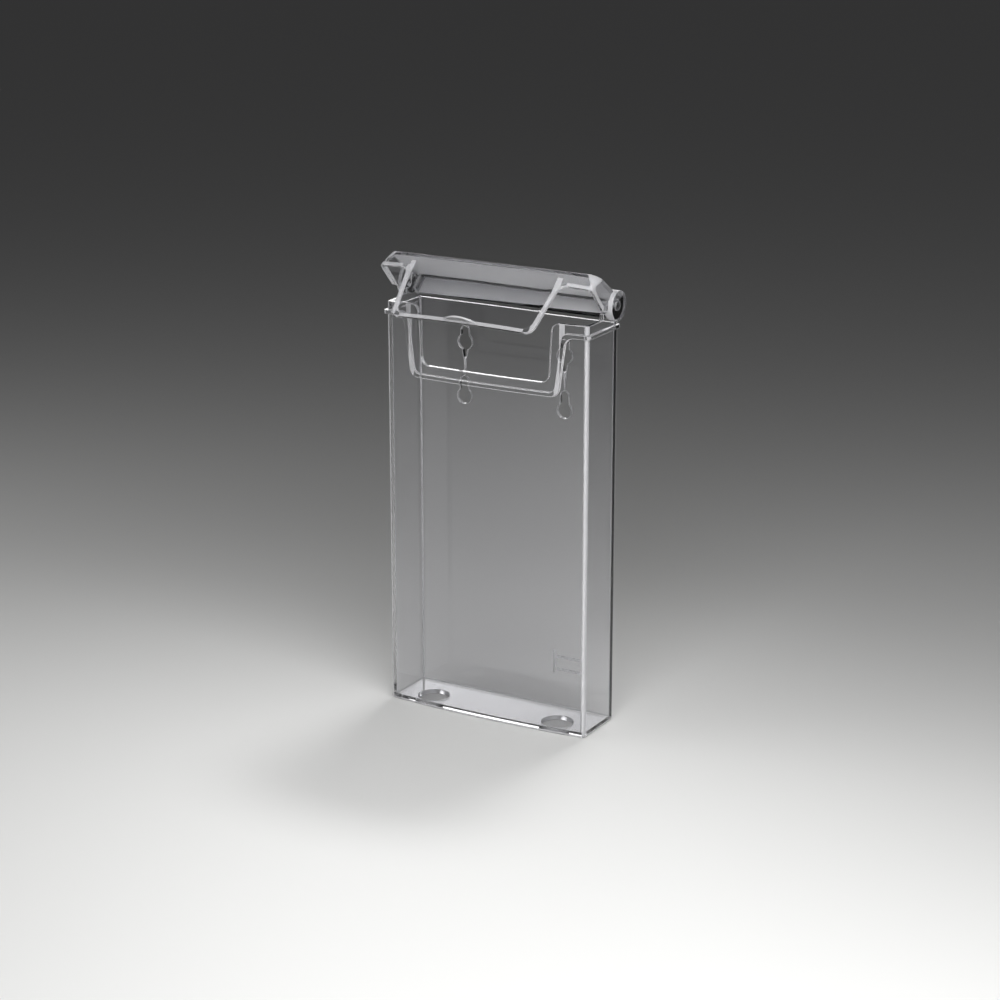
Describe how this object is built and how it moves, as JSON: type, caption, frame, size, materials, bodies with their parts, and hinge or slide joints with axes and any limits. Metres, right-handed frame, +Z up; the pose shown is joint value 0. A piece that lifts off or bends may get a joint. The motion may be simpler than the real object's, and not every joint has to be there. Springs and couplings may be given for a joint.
{
  "type": "outdoor leaflet dispenser",
  "caption": "Clear moulded pocket for tall leaflets, standing or wall-hung, with a scooped front and a hinged rain lid standing open.",
  "frame": {"origin": "centre of the base, on the surface the dispenser stands on", "axes": "+Z up, -Y out of the front with the scoop, +Y into the wall behind, +X to the viewer's right"},
  "size_m": [0.127, 0.0614, 0.2448],
  "materials": {
    "pocket_plastic": "polished clear polystyrene",
    "lid_plastic": "polished clear polystyrene, lightly grained on the top panel"
  },
  "bodies": {
    "pocket": {"pocket": "pocket_plastic"},
    "lid": {"lid": "lid_plastic"}
  },
  "joints": [
    {"name": "lid_hinge", "type": "hinge", "parent": "pocket", "child": "lid", "pos_m": [0, 0.0082, 0.2259], "axis": [-1, 0, 0], "range_deg": [-47.5, 62.5]}
  ]
}
